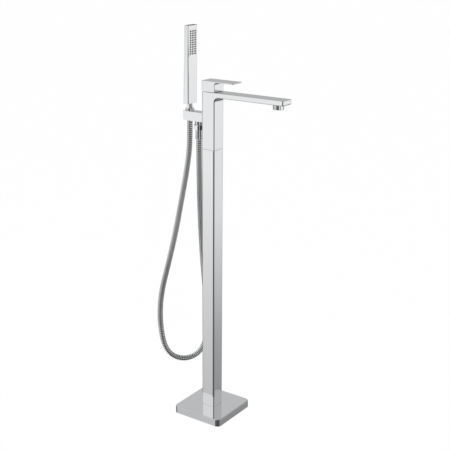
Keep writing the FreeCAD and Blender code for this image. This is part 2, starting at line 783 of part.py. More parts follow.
lever.cylinder(grub_hole, (-half, 0, grub_height), half + pivot_x, along="X", cut=True)
grub = Piece("lever_screw")
grub_start = -half + size.grub_depth
grub_length = pivot_x - stem_half - gap - grub_start
grub.cylinder(size.grub_radius, (grub_start, 0, grub_height), grub_length, along="X")
grub.cylinder(size.grub_radius / 2, (grub_start, 0, grub_height), grub_length / 2, along="X", cut=True)

# ---- aerator ------------------------------------------------------------------------------------------
aerator_low = spout_under - size.aerator_drop
aerator_top = spout_under + size.aerator_thread_length
lip_top = aerator_low + size.aerator_lip
aerator = Piece("aerator_housing", x=aerator_x)
aerator.turned([
    (size.aerator_mouth, aerator_low), (size.aerator_radius - size.aerator_edge, aerator_low),
    (size.aerator_radius, aerator_low + size.aerator_edge), (size.aerator_radius, spout_under),
    (size.aerator_thread, spout_under), (size.aerator_thread, aerator_top),
    (size.aerator_bore, aerator_top), (size.aerator_bore, lip_top), (size.aerator_mouth, lip_top),
])
insert = Piece("aerator_insert", x=aerator_x)
insert.cylinder(size.aerator_bore - gap, (0, 0, lip_top), size.aerator_insert_height)
insert.cylinder(size.aerator_hole, (0, 0, lip_top), size.aerator_insert_height, cut=True)
for index in range(6):
    angle = math.radians(60 * index)
    spot = (size.aerator_hole_circle * math.cos(angle), size.aerator_hole_circle * math.sin(angle), lip_top)
    insert.cylinder(size.aerator_hole, spot, size.aerator_insert_height, cut=True)
washer_top = aerator_top + size.washer_height
ring("aerator_washer", size.aerator_washer_bore, size.aerator_thread, aerator_top, washer_top, x=aerator_x)

# ---- diverter -----------------------------------------------------------------------------------------
bush_start = half - size.diverter_bush_length
collar_end = half + size.diverter_collar_height
bush = Piece("diverter_bush")
bush_foot = (diverter_x, bush_start, water_level)
stem_hole = size.diverter_stem + gap
bush.cylinder(size.diverter_bore - gap, bush_foot, size.diverter_bush_length, along="Y")
bush.cylinder(size.diverter_collar, (diverter_x, half, water_level), size.diverter_collar_height, along="Y")
bush.cylinder(stem_hole, bush_foot, collar_end - bush_start, along="Y", cut=True)
knob_start = collar_end + size.diverter_knob_gap
stem_end = knob_start + size.diverter_knob_length * 0.75
stem_start = stem_end - size.diverter_stem_length
spindle = Piece("diverter_spindle")
stem_foot = (diverter_x, stem_start, water_level)
spindle.cylinder(size.diverter_stem, stem_foot, size.diverter_stem_length, along="Y")
disc = Piece("diverter_seal")
disc.cylinder(size.diverter_disc, stem_foot, size.diverter_disc_height, along="Y")
disc.cylinder(stem_hole, stem_foot, size.diverter_disc_height, along="Y", cut=True)
knob = Piece("diverter_knob")
knob.cylinder(size.diverter_knob, (diverter_x, knob_start, water_level), size.diverter_knob_length, along="Y")
knob.rounded(size.top_edge, lambda box: box.YLength < 0.01)
knob.cylinder(stem_hole, (diverter_x, knob_start, water_level), stem_end - knob_start, along="Y", cut=True)

# ---- holder arm ---------------------------------------------------------------------------------------
arm_half = size.arm_depth / 2
arm = Piece("holder_arm")
arm.box((-size.arm_reach, -half), (-arm_half, arm_half), (arm_low, size.arm_top))
arm.rounded(size.arm_corner, lambda box: near(box.XMax, -size.arm_reach) and near(box.ZMax, arm_low))
arm.rounded(size.arm_edge, lambda box: box.XLength > SIZES["arm_reach"] / 2 and near(box.ZMin, size.arm_top))
arm.cone(size.seat_mouth, size.seat_radius, (-size.seat_reach, 0, arm_low), size.arm_height, cut=True)
seat_slot = size.slot_width / 2
arm.box((-size.arm_reach, -size.seat_reach), (-seat_slot, seat_slot), (arm_low, size.arm_top), cut=True)
arm.cylinder(size.water_radius, (outlet_x, 0, water_level), -half - outlet_x, along="X", cut=True)
arm.cylinder(size.outlet_spigot + gap, (outlet_x, 0, arm_low), size.outlet_bore, cut=True)
link_start = -half - size.link_outer
arm.cylinder(size.link_radius + gap, (link_start, 0, water_level), size.link_outer, along="X", cut=True)
groove = -half - size.arm_seal_depth
arm.cylinder(size.arm_seal_radius, (groove, 0, water_level), size.arm_seal_depth, along="X", cut=True)
link = Piece("arm_link")
link_length = size.link_outer + size.link_inner
link.cylinder(size.link_radius, (link_start, 0, water_level), link_length, along="X")
link.cylinder(size.link_bore, (link_start, 0, water_level), link_length, along="X", cut=True)
arm_seal = Piece("arm_seal")
seal_foot = (groove + gap, 0, water_level)
arm_seal.cylinder(size.arm_seal_radius - gap, seal_foot, size.arm_seal_depth - gap, along="X")
arm_seal.cylinder(size.link_radius + gap, seal_foot, size.arm_seal_depth - gap, along="X", cut=True)

# ---- hose outlet --------------------------------------------------------------------------------------
collar_low = arm_low - size.outlet_collar_height
outlet_low = collar_low - size.outlet_thread_length
spigot_top = arm_low + size.outlet_spigot_length
valve_top = outlet_low + size.check_valve_length
bevel = size.outlet_collar_edge
nipple = Piece("outlet_nipple", x=outlet_x)
nipple.turned([
    (size.check_valve_radius + gap, outlet_low), (size.half_inch_thread, outlet_low),
    (size.half_inch_thread, collar_low), (size.outlet_collar - bevel, collar_low),
    (size.outlet_collar, collar_low + bevel), (size.outlet_collar, arm_low - bevel),
    (size.outlet_collar - bevel, arm_low), (size.outlet_spigot, arm_low), (size.outlet_spigot, spigot_top),
    (size.water_radius, spigot_top), (size.water_radius, valve_top),
    (size.check_valve_radius + gap, valve_top),
])
ring("check_valve", size.check_valve_bore, size.check_valve_radius, outlet_low, valve_top, x=outlet_x)
washer_low = outlet_low - size.outlet_washer_height
ring("outlet_washer", size.outlet_washer_bore, size.hose_flange, washer_low, outlet_low, x=outlet_x)

hose_nut_top = collar_low - size.hose_nut_gap
hose_nut_low = hose_nut_top - size.hose_nut_height
hose_nut = Piece("hose_outlet_nut", x=outlet_x)
hose_nut.hexagon(size.hose_nut_radius, (0, 0, hose_nut_low), size.hose_nut_height, degrees=HOSE_NUT_TURN)
reach = size.hose_nut_radius + 1
crown = size.hose_nut_flats
drop = size.hose_nut_chamfer * 1.5
hose_nut.turned([(crown, hose_nut_low), (reach, hose_nut_low), (reach, hose_nut_low + drop)], cut=True)
hose_nut.turned([(crown, hose_nut_top), (reach, hose_nut_top - drop), (reach, hose_nut_top)], cut=True)
hose_nut.cylinder(size.hose_nut_hole, (0, 0, hose_nut_low), size.hose_nut_floor, cut=True)
nut_floor = hose_nut_low + size.hose_nut_floor
thread_room = size.half_inch_thread + size.thread_gap
hose_nut.cylinder(thread_room, (0, 0, nut_floor), hose_nut_top - nut_floor, cut=True)

ferrule = Piece("outlet_ferrule", x=outlet_x)
ferrule_top = hose_nut_low - size.hose_neck_gap
ferrule_low = ferrule_top - size.ferrule_length
bevel = size.ferrule_edge
ferrule.turned([
    (size.hose_bore, ferrule_low), (size.ferrule_radius - bevel, ferrule_low),
    (size.ferrule_radius, ferrule_low + bevel), (size.ferrule_radius, ferrule_top - bevel),
    (size.ferrule_radius - bevel, ferrule_top), (size.hose_neck, ferrule_top),
    (size.hose_neck, nut_floor), (size.hose_flange, nut_floor), (size.hose_flange, washer_low),
    (size.hose_bore, washer_low),
])

# ---- hose end in the holder ---------------------------------------------------------------------------
hose_top = arm_low - size.hose_end_drop
end_top = hose_top + size.end_ferrule_length
ring("hose_end_ferrule", size.hose_bore, size.end_ferrule_radius, hose_top, end_top, x=seat_x)
tail_top = size.arm_top - size.tail_top
tail_low = hose_top + size.tail_start
flange_low = tail_top - size.tail_flange_height
tail = Piece("hose_tail", x=seat_x)
tail.turned([
    (size.tail_bore, tail_low), (size.tail_radius, tail_low), (size.tail_radius, flange_low),
    (size.tail_flange, flange_low), (size.tail_flange, tail_top), (size.tail_bore, tail_top),
])
thread_low = tail_top + size.hose_washer_height
ring("hose_washer", size.hose_bore, size.tail_flange, tail_top, thread_low, x=seat_x)
nut_low = size.arm_top - size.nut_drop
rim_top = size.arm_top + size.nut_rim_height
foot_bore_top = nut_low + size.nut_foot_bore_height
chamber_low = thread_low - size.nut_chamber_drop
bevel = size.nut_edge
cone_nut = Piece("hose_cone_nut", x=seat_x)
cone_nut.turned([
    (size.nut_foot_bore, nut_low), (size.nut_foot, nut_low), (size.nut_top, size.arm_top),
    (size.nut_rim - bevel, size.arm_top), (size.nut_rim, size.arm_top + bevel),
    (size.nut_rim, rim_top - bevel), (size.nut_rim - bevel, rim_top), (thread_room, rim_top),
    (thread_room, thread_low), (size.nut_chamber, thread_low), (size.nut_chamber, chamber_low),
    (size.nut_neck_bore, chamber_low), (size.nut_neck_bore, foot_bore_top),
    (size.nut_foot_bore, foot_bore_top),
])

# ---- handset ------------------------------------------------------------------------------------------
thread_end = thread_low + size.connector_thread_length
handset_low = rim_top + size.connector_height
spigot_end = handset_low + size.connector_spigot_length
connector = Piece("handset_connector", x=seat_x)
connector.turned([
    (size.connector_bore, thread_low), (size.half_inch_thread, thread_low),
    (size.half_inch_thread, thread_end), (size.connector_foot, thread_end), (size.connector_foot, rim_top),
    (size.connector_neck, handset_low), (size.connector_spigot, handset_low),
    (size.connector_spigot, spigot_end), (size.connector_bore, spigot_end),
])
handset_top = handset_low + size.handset_length
foot_x = about(size.handset_foot_offset, size.handset_foot_depth / 2)
head_x = about(size.handset_head_offset, size.handset_head_depth / 2)
foot_y = (-size.handset_foot_width / 2, size.handset_foot_width / 2)
head_y = (-size.handset_head_width / 2, size.handset_head_width / 2)
handset = Piece("handset_body", x=seat_x)
handset.wedge(foot_x, foot_y, head_x, head_y, (handset_low, handset_top))
handset.rounded(size.handset_edge, lambda box: box.ZLength > SIZES["handset_length"] / 2)
handset.rounded(size.handset_top_edge, lambda box: near(box.ZMin, handset_top) and box.DiagonalLength > 8)
handset.rounded(size.top_edge / 2, lambda box: near(box.ZMax, handset_low) and box.DiagonalLength > 8)
spray_top = handset_top - size.spray_margin
spray_low = spray_top - size.spray_height
spray_half = size.spray_width / 2
plate_back = size.spray_front - size.spray_plate_height
mat_back = plate_back - size.mat_height
chamber_back = mat_back - size.chamber_height
margin = size.chamber_margin
recess_y = (-spray_half - gap, spray_half + gap)
handset.box((mat_back, size.spray_front), recess_y, (spray_low - gap, spray_top + gap), cut=True)
chamber_y = (margin - spray_half, spray_half - margin)
handset.box((chamber_back, mat_back), chamber_y, (spray_low + margin, spray_top - margin), cut=True)
handset.cylinder(size.connector_spigot + gap, (0, 0, handset_low), size.connector_spigot_length, cut=True)
channel = size.handset_waterway
waterway_reach = spray_low + margin + channel - spigot_end
handset.cylinder(channel, (size.handset_waterway_offset, 0, spigot_end), waterway_reach, cut=True)

columns = size.nozzle_columns
rows = size.nozzle_rows
first_y = size.nozzle_pitch_y * (columns - 1) / -2
first_z = spray_top - size.spray_height / 2 - size.nozzle_pitch_z * (rows - 1) / 2
spray = Piece("spray_plate", x=seat_x)
spray.box((plate_back, size.spray_front), (-spray_half, spray_half), (spray_low, spray_top))
spray.rounded(size.top_edge, lambda box: box.XLength > 1)
first_hole = (plate_back, first_y, first_z)
hole = spray.hexagon(size.nozzle_hole, first_hole, size.spray_plate_height, along="X", cut=True)
spray.grid(hole, columns, size.nozzle_pitch_y, rows, size.nozzle_pitch_z)
mat = Piece("nozzle_mat", x=seat_x)
mat.box((mat_back, plate_back), (-spray_half, spray_half), (spray_low, spray_top))
mat.rounded(size.top_edge, lambda box: box.XLength > 1)
nozzle_length = size.mat_height + size.spray_plate_height + size.nozzle_proud
nozzle = mat.hexagon(size.nozzle_radius, (mat_back, first_y, first_z), nozzle_length, along="X")
mat.grid(nozzle, columns, size.nozzle_pitch_y, rows, size.nozzle_pitch_z)

# ---- hose ---------------------------------------------------------------------------------------------


class Route:
    """A centre line of straight runs joined by tangent arcs, as large as their two runs allow."""

    def __init__(self, points):
        self.parts = []  # of (length, function that gives the place and the direction at a distance)
        self.middles = []  # distance of the middle of each straight run
        place = points[0]
        for before, corner, after in zip(points, points[1:], points[2:]):
            back = (before - corner).normalize()
            on = (after - corner).normalize()
            turn = math.pi - back.getAngle(on)
            shorter = min((before - corner).Length, (after - corner).Length)
            radius = BEND_SHARE * shorter / math.tan(turn / 2)
            start = corner + back * (BEND_SHARE * shorter)
            self.straight(place, start)
            self.middles.append(self.length() - (start - place).Length / 2)
            self.arc(start, -back, on, radius, turn)
            place = corner + on * (BEND_SHARE * shorter)
            spot = tuple(round(v) for v in corner)
            print(f"bend at {spot}: {math.degrees(turn):.0f} degrees, radius {radius:.0f} mm")
        self.straight(place, points[-1])

    def length(self):
        return sum(length for length, _ in self.parts)

    def straight(self, start, end):
        heading = (end - start).normalize()
        self.parts.append(((end - start).Length, lambda s: (start + heading * s, heading)))

    def arc(self, start, heading, leaving, radius, turn):
        inward = (leaving - heading * heading.dot(leaving)).normalize()

        def at(s):
            angle = s / radius
            place = start + heading * (radius * math.sin(angle)) + inward * (radius * (1 - math.cos(angle)))
            return place, heading * math.cos(angle) + inward * math.sin(angle)

        self.parts.append((radius * turn, at))

    def at(self, distance):
        for length, where in self.parts:
            if distance <= length + 1e-9:
                return where(distance)
            distance -= length
        return self.parts[-1][1](self.parts[-1][0])


STEADY = Vector(1, -0.9, 0)  # seen from here the hose never runs straight away, so no circle twists


def circle(route, distance, radius):
    """A closed ring across the hose; its X axis stays close to one direction all along."""
    place, heading = route.at(distance)
    across = (STEADY - heading * heading.dot(STEADY)).normalize()
    frame = Placement(place, Rotation(across, Vector(), heading, "ZXY"))
    wire = Part.Wire(Part.makeCircle(radius))
    wire.Placement = frame
    return wire


def ribbed_hose(name, route, start, end):
    """A stretch of the hose with its bore: plain for one diameter at each end and ribbed between."""
    crest = SIZES["hose_radius"]
    valley = crest - SIZES["hose_rib_depth"]
    bore = SIZES["hose_bore"]
    plain = 2 * crest
    ribs = round((end - start - 2 * plain) / SIZES["hose_rib_pitch"])
    pitch = (end - start - 2 * plain) / ribs
    rings = [(start, crest), (start + plain, crest)]
    for index in range(ribs):
        foot = start + plain + pitch * index
        rings += [(foot + pitch * 0.08, valley), (foot + pitch * 0.32, valley)]
        rings += [(foot + pitch * 0.4, crest), (foot + pitch, crest)]
    rings.append((end, crest))
    outside = Part.makeLoft([circle(route, *item) for item in rings], True, True)
    spots = [start, start + plain] + [start + plain + pitch * (index + 1) for index in range(ribs)] + [end]
    inside = Part.makeLoft([circle(route, spot, bore) for spot in spots], True, True)
    feature = doc.addObject("Part::Feature", name)
    feature.Label = name
    feature.Shape = outside.cut(inside)
    feature.Placement = Placement()
    nodes[name] = feature
    plain_volume = math.pi * (crest**2 - bore**2) * (end - start)
    volume = feature.Shape.Volume
    print(f"{name}: {end - start:.0f} mm, {ribs} ribs, volume {volume:.0f} of {plain_volume:.0f} if plain")


outlet_end = Vector(float(outlet_x), 0, float(ferrule_low))
holder_end = Vector(float(seat_x), 0, float(hose_top))
loop = [Vector(*point) for point in (*DROP_POINTS, LOOP_POINT, *RISER_POINTS)]
below_outlet = outlet_end - Vector(0, 0, DROP_STRAIGHT)
below_holder = holder_end - Vector(0, 0, RISER_STRAIGHT)
loop = [outlet_end, below_outlet, *loop, below_holder, holder_end]
hose_line = Route(loop)
parting = hose_line.middles[len(DROP_POINTS) + 2]
print(f"hose parted at {hose_line.at(parting)[0]}")
ribbed_hose("hose_drop", hose_line, 0, parting)
ribbed_hose("hose_riser", hose_line, parting, hose_line.length())

# ---- check and export ---------------------------------------------------------------------------------
doc.recompute()
faults = [item.Name for item in doc.Objects if {"Invalid", "Error"} & set(item.State)]
faults += [name for name, item in nodes.items() if item.Shape.isNull() or not item.Shape.isValid()]
for name, item in nodes.items():
    if len(item.Shape.Solids) != len(getattr(item, "Links", [None])):
        faults.append(f"{name} has {len(item.Shape.Solids)} solids")
if faults:
    raise SystemExit(f"faulty: {faults}")
os.makedirs("parts", exist_ok=True)
for name, item in nodes.items():
    item.Shape.exportStep(f"parts/{name}.step")
print(f"{len(nodes)} nodes exported")
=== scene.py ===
"""Dresses the floor standing bath filler: polished chrome, a ribbed metal hose, black nozzles, and a studio.

Metres, +Z up, the origin on the floor under the column; +X is the way the spout points.
"""
import math

import bmesh
import bpy
from mathutils import Matrix, Vector


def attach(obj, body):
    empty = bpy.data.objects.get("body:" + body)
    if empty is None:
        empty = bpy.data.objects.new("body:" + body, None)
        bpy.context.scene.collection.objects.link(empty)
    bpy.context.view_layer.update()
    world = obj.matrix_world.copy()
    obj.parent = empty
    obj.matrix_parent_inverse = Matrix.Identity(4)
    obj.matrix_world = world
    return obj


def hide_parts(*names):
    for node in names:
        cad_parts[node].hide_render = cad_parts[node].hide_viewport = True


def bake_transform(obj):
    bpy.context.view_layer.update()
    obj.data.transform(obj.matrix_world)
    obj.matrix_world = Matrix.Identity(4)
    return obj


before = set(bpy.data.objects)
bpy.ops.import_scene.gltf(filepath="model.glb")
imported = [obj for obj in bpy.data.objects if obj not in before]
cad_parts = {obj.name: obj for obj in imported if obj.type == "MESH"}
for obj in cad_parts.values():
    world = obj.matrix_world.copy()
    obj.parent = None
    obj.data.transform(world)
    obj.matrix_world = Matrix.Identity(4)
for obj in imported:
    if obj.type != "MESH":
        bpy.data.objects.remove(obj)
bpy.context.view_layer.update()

bl_info = {
    "name": "Bath Filler",
    "version": (1, 0, 0),
    "blender": (4, 5, 0),
    "location": "View3D > Sidebar > Bath Filler",
    "description": "Gives a floor standing bath filler its finishes, its hose and a studio",
    "category": "Object",
}

STAND, HOSE_END = "stand", "hose_end"

# The hose's centre line, in metres: the points of the route that the solids follow.
DROP_ROUTE = [
    (-0.0425, 0, 0.762), (-0.0425, 0, 0.667), (-0.0435, 0.006, 0.545), (-0.041, 0.012, 0.435),
    (-0.037, 0.020, 0.335), (-0.033, 0.025, 0.270), (-0.034, 0.0245, 0.222), (-0.039, 0.019, 0.181),
    (-0.053, 0.004, 0.151), (-0.0765, -0.021, 0.140), (-0.08825, -0.0335, 0.1455),
]
RISER_ROUTE = [
    (-0.08825, -0.0335, 0.1455), (-0.100, -0.046, 0.151), (-0.115, -0.062, 0.181), (-0.121, -0.069, 0.226),
    (-0.1235, -0.072, 0.285), (-0.117, -0.070, 0.350), (-0.099, -0.066, 0.420), (-0.085, -0.050, 0.508),
    (-0.076, -0.032, 0.604), (-0.0725, -0.010, 0.690), (-0.0715, 0, 0.750), (-0.0715, 0, 0.808),
]
HOSE_STEADY = Vector((1, -0.9, 0))  # the hose never runs this way, so its cross-sections don't twist

# Which finish each CAD node gets.
FINISHES = {
    "chrome": [
        "column_tube", "spout_body", "lever", "holder_arm", "base_cover", "outlet_nipple", "hose_outlet_nut",
        "outlet_ferrule", "hose_end_ferrule", "hose_cone_nut", "handset_connector", "handset_body",
        "spray_plate", "aerator_housing", "diverter_bush", "diverter_knob",
    ],
    "pale_seal": ["seam_gasket"],
    "rubber": [
        "cover_seal", "floor_gasket", "cartridge_seals", "arm_seal", "aerator_washer", "outlet_washer",
        "hose_washer", "diverter_seal", "nozzle_mat",
    ],
    "plain_steel": [
        "column_sleeve", "column_screws", "sleeve_screws", "floor_flange", "lever_screw", "pivot_pin",
        "lever_stem", "diverter_spindle",
    ],
    "raw_brass": [
        "hot_supply_pipe", "cold_supply_pipe", "hot_supply_nut", "cold_supply_nut", "cartridge_nut",
        "arm_link", "hose_tail",
    ],
    "white_plastic": ["cartridge_case", "cartridge_turntable", "aerator_insert", "check_valve"],
    "ground_ceramic": ["ceramic_fixed_disc", "ceramic_turning_disc"],
}


class FinishSettings(bpy.types.PropertyGroup):
    chrome_colour: bpy.props.FloatVectorProperty(
        name="Chrome", description="Reflection colour of the polished plating", subtype="COLOR", size=3,
        default=(0.80, 0.81, 0.82), min=0, max=1)
    chrome_roughness: bpy.props.FloatProperty(
        name="Chrome roughness", description="Blur of reflections in the plating",
        default=0.035, min=0, max=1)
    hose_colour: bpy.props.FloatVectorProperty(
        name="Hose", description="Reflection colour of the hose's metal strip", subtype="COLOR", size=3,
        default=(0.88, 0.89, 0.90), min=0, max=1)
    rubber_colour: bpy.props.FloatVectorProperty(
        name="Rubber", description="Colour of seals and nozzles", subtype="COLOR", size=3,
        default=(0.012, 0.012, 0.013), min=0, max=1)
    # Painted shade: the plating's base colour is darkened on rounded corners, in place of the dark that the
    # corners mirror.
    painted_edge_shade: bpy.props.FloatProperty(
        name="Edge shade", description="How far the plating darkens on rounded corners",
        default=0.55, min=0, max=1, subtype="FACTOR")


class HoseSettings(bpy.types.PropertyGroup):
    radius: bpy.props.FloatProperty(
        name="Radius", description="Outer radius of the hose",
        default=0.0073, min=0.003, max=0.02, unit="LENGTH")
    groove: bpy.props.FloatProperty(
        name="Groove", description="Depth of the groove between two turns of the strip",
        default=0.0009, min=0, max=0.003, unit="LENGTH")
    pitch: bpy.props.FloatProperty(
        name="Pitch", description="Distance from turn to turn",
        default=0.0053, min=0.002, max=0.02, unit="LENGTH")
    around: bpy.props.IntProperty(
        name="Points around", description="Points on one ring of the tube", default=28, min=8, max=64)


class StudioSettings(bpy.types.PropertyGroup):
    azimuth: bpy.props.FloatProperty(
        name="Azimuth", description="Where the camera stands, round from the side view",
        default=math.radians(34.808), subtype="ANGLE")
    elevation: bpy.props.FloatProperty(
        name="Elevation", description="How far the camera looks down",
        default=math.radians(17.478), subtype="ANGLE")
    roll: bpy.props.FloatProperty(
        name="Roll", description="Tilt of the camera about its own axis", default=math.radians(0.3125),
        subtype="ANGLE")
    place: bpy.props.FloatVectorProperty(
        name="Camera", description="Place of the camera",
        default=(1.38669, -1.93658, 1.28774), subtype="TRANSLATION")
    lens: bpy.props.FloatProperty(
        name="Lens", description="Focal length in millimetres on a 36 mm sensor",
        default=76.19, min=20, max=200)
    flag_depth: bpy.props.FloatProperty(
        name="Flags", description="How black the studio's flags are",
        default=0.95, min=0, max=1, subtype="FACTOR")
    floor_glow: bpy.props.FloatProperty(
        name="Floor glow", description="How far the camera sees the floor as plain white",
        default=0.985, min=0, max=1, subtype="FACTOR")
    floor: bpy.props.FloatVectorProperty(
        name="Floor", description="Colour of floor and backdrop", subtype="COLOR", size=3,
        default=(0.86, 0.86, 0.86), min=0, max=1)


class Term:
    """A value in a node tree; Python's operators on it add Math nodes."""

    def __init__(self, graph, socket):
        self.graph = graph
        self.socket = socket

    def math(self, operation, *others):
        values = [self, *others]
        return self.graph.add("ShaderNodeMath", {"operation": operation}, dict(enumerate(values)))

    def __add__(self, other):
        return self.math("ADD", other)

    def __sub__(self, other):
        return self.math("SUBTRACT", other)

    def __rsub__(self, other):
        return self.math("MULTIPLY", -1).math("ADD", other)

    def __mul__(self, other):
        return self.math("MULTIPLY", other)

    def __truediv__(self, other):
        return self.math("DIVIDE", other)

    def __abs__(self):
        return self.math("ABSOLUTE")

    __radd__ = __add__
    __rmul__ = __mul__

    def step(self, low, high):
        """0 below low, 1 above high, smooth between."""
        settings = {"interpolation_type": "SMOOTHSTEP"}
        values = {"Value": self, "From Min": low, "From Max": high}
        return self.graph.add("ShaderNodeMapRange", settings, values)

    def between(self, rise, fall):
        """1 between two pairs, 0 outside them, smooth across each pair."""
        return self.step(*rise) * (1 - self.step(*fall))


class Graph:
    """A node tree that is built by calls."""

    def __init__(self, tree):
        self.tree = tree
        tree.nodes.clear()

    def add(self, kind, settings=None, values=None, out=0):
        """A node of a kind: its settings first, then the values or links of its sockets."""
        node = self.tree.nodes.new(kind)
        for name, value in (settings or {}).items():
            if name == "stops":
                self.set_stops(node.color_ramp, value)
            else:
                setattr(node, name, value)
        for name, value in (values or {}).items():
            socket = node.inputs[name]
            if isinstance(value, Term):
                self.tree.links.new(value.socket, socket)
            else:
                socket.default_value = value
        self.last = node
        return Term(self, node.outputs[out]) if len(node.outputs) else None

    @staticmethod
    def set_stops(ramp, stops):
        while len(ramp.elements) < len(stops):
            ramp.elements.new(1)
        for element, (position, colour) in zip(ramp.elements, stops):
            element.position = position
            element.color = colour

    def parts(self, vector):
        """The x, y and z of a vector."""
        self.add("ShaderNodeSeparateXYZ", None, {0: vector})
        return [Term(self, socket) for socket in self.last.outputs]

    def noise(self, place, scale, detail=2.0, roughness=0.5):
        return self.add("ShaderNodeTexNoise", None,
                        {"Vector": place, "Scale": scale, "Detail": detail, "Roughness": roughness})

    def blend(self, share, first, second):
        """One colour turning into another."""
        return self.add("ShaderNodeMix", {"data_type": "RGBA"}, {0: share, 6: first, 7: second}, out=2)

    def mix(self, share, first, second):
        """One number turning into another."""
        return self.add("ShaderNodeMix", {"data_type": "FLOAT"}, {0: share, 2: first, 3: second})

    def ramp(self, place, stops):
        """A number looked up along a row of stops."""
        colours = [(position, (value, value, value, 1)) for position, value in stops]
        return self.add("ShaderNodeValToRGB", {"stops": colours}, {"Fac": place})

    def shader_blend(self, share, first, second):
        return self.add("ShaderNodeMixShader", None, {0: share, 1: first, 2: second})

    def bump(self, height, strength, distance):
        values = {"Height": height, "Strength": strength, "Distance": distance}
        return self.add("ShaderNodeBump", None, values)

    def surface(self, shader):
        self.add("ShaderNodeOutputMaterial", None, {"Surface": shader})

    def principled(self, values):
        """The material's surface: one Principled shader with these values."""
        self.surface(self.add("ShaderNodeBsdfPrincipled", None, values))


PAINTED_CORNER_FADE = (0.80, 0.985)  # largest part of the normal, from a corner in full painted shade to a flat face without it
GROOVE_FADE = (0.08, 0.5)  # depth in the groove, from bright strip to full painted shade
# Painted shade: a near black colour for the bottom of the hose's groove.
GROOVE_SHADE_COLOUR = (0.02, 0.02, 0.022, 1)


def opaque(colour):
    return (*colour[:3], 1)


def finish_graph(name):
    """A new material, its empty graph and the place on the piece."""
    material = bpy.data.materials.new(name)
    material.use_nodes = True
    graph = Graph(material.node_tree)
    place = graph.add("ShaderNodeTexCoord", out=3)
    return material, graph, place


def chrome(settings):
    """Bright plating: mirror-like, with the faint ripple of buffing and painted shade on its rounded corners.
    """
    material, graph, place = finish_graph("polished_chrome")
    normal = graph.add("ShaderNodeTexCoord", out=1)
    sides = [abs(side) for side in graph.parts(normal)]
    flat = sides[0].math("MAXIMUM", sides[1]).math("MAXIMUM", sides[2])
    # Painted shade: the base colour darkens where the normal turns away from the piece's axes, on rounded
    # corners.
    corner = 1 - flat.step(*PAINTED_CORNER_FADE)
    shade = opaque([value * (1 - settings.painted_edge_shade) for value in settings.chrome_colour])
    colour = graph.blend(corner, opaque(settings.chrome_colour), shade)
    ripple = graph.noise(place, 18, 2)
    haze = graph.noise(place, 140, 3)
    roughness = settings.chrome_roughness * (haze * 0.8 + 0.6)
    bumped = graph.bump(ripple, 0.05, 0.0006)
    graph.principled({"Base Color": colour, "Metallic": 1.0, "Roughness": roughness, "Normal": bumped})
    return material


def round_chrome(settings):
    """The same plating without the painted corner shade, for turned pieces and the hexagon nut."""
    material, graph, place = finish_graph("turned_chrome")
    haze = graph.noise(place, 160, 3)
    roughness = settings.chrome_roughness * (haze * 0.9 + 0.8)
    graph.principled({"Base Color": opaque(settings.chrome_colour), "Metallic": 1.0, "Roughness": roughness})
    return material


def hose_metal(settings):
    """Wound strip: bright on the crest of each turn; in the groove, which the mesh really has, painted shade
    turns it dark.
    """
    material, graph, place = finish_graph("wound_strip")
    groove = graph.add("ShaderNodeAttribute", {"attribute_name": "groove"}, out=2)
    # Painted shade: the base colour turns near black down in the groove.
    colour = graph.blend(groove.step(*GROOVE_FADE), opaque(settings.hose_colour), GROOVE_SHADE_COLOUR)
    haze = graph.noise(place, 220, 3)
    roughness = haze * 0.06 + groove * 0.2 + 0.05
    graph.principled({"Base Color": colour, "Metallic": 1.0, "Roughness": roughness})
    return material


def rubber(name, colour, roughness):
    """Moulded rubber: a matt skin with a fine grain."""
    material, graph, place = finish_graph(name)
    grain = graph.noise(place, 900, 3)
    mottle = graph.noise(place, 60, 2)
    lighter = opaque([value * 1.5 + 0.01 for value in colour])
    graph.principled({
        "Base Color": graph.blend(mottle.step(0.4, 0.7), opaque(colour), lighter),
        "Roughness": grain * 0.15 + roughness, "Normal": graph.bump(grain, 0.2, 0.0001)})
    return material


def metal(name, colour, roughness, streak):
    """Unplated metal with the fine marks of turning or rolling."""
    material, graph, place = finish_graph(name)
    stretched = graph.add("ShaderNodeMapping", None, {"Vector": place, "Scale": (streak, streak, 12)})
    marks = graph.noise(stretched, 60, 4)
    tarnish = graph.noise(place, 35, 3)
    darker = opaque([value * 0.8 for value in colour])
    graph.principled({
        "Base Color": graph.blend(tarnish.step(0.35, 0.75), opaque(colour), darker), "Metallic": 1.0,
        "Roughness": marks * 0.2 + roughness, "Normal": graph.bump(marks, 0.1, 0.0001)})
    return material


def moulded(name, colour, roughness):
    """Plain moulded or ground material with a slight unevenness."""
    material, graph, place = finish_graph(name)
    cloud = graph.noise(place, 45, 3)
    darker = opaque([value * 0.93 for value in colour])
    blended = graph.blend(cloud, opaque(colour), darker)
    graph.principled({"Base Color": blended, "Roughness": cloud * 0.15 + roughness})
    return material


# Plated nodes that get the finish without the painted corner shade.
ROUND_NODES = {
    "outlet_nipple", "outlet_ferrule", "hose_end_ferrule", "hose_cone_nut", "handset_connector",
    "aerator_housing", "diverter_bush", "diverter_knob", "hose_outlet_nut",
}


class FILLER_OT_finishes(bpy.types.Operator):
    """Give every CAD piece its finish and smooth its curved faces"""
    bl_idname = "filler.finishes"
    bl_label = "Finishes"

    def execute(self, context):
        settings = context.scene.filler_finish
        made = {
            "chrome": chrome(settings),
            "round_chrome": round_chrome(settings),
            "pale_seal": rubber("pale_seal", (0.35, 0.35, 0.35), 0.4),
            "rubber": rubber("black_rubber", settings.rubber_colour, 0.55),
            "plain_steel": metal("plain_steel", (0.56, 0.57, 0.58), 0.25, 300),
            "raw_brass": metal("raw_brass", (0.72, 0.56, 0.30), 0.25, 300),
            "white_plastic": moulded("white_plastic", (0.80, 0.80, 0.78), 0.35),
            "ground_ceramic": moulded("ground_ceramic", (0.86, 0.85, 0.82), 0.2),
        }
        for finish, names in FINISHES.items():
            for name in names:
                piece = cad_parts[name]
                kind = "round_chrome" if name in ROUND_NODES else finish
                piece.data.materials.clear()
                piece.data.materials.append(made[kind])
                smooth(piece)
        return {"FINISHED"}


SHARP_ANGLE = math.radians(40)  # edges that turn further than this stay sharp


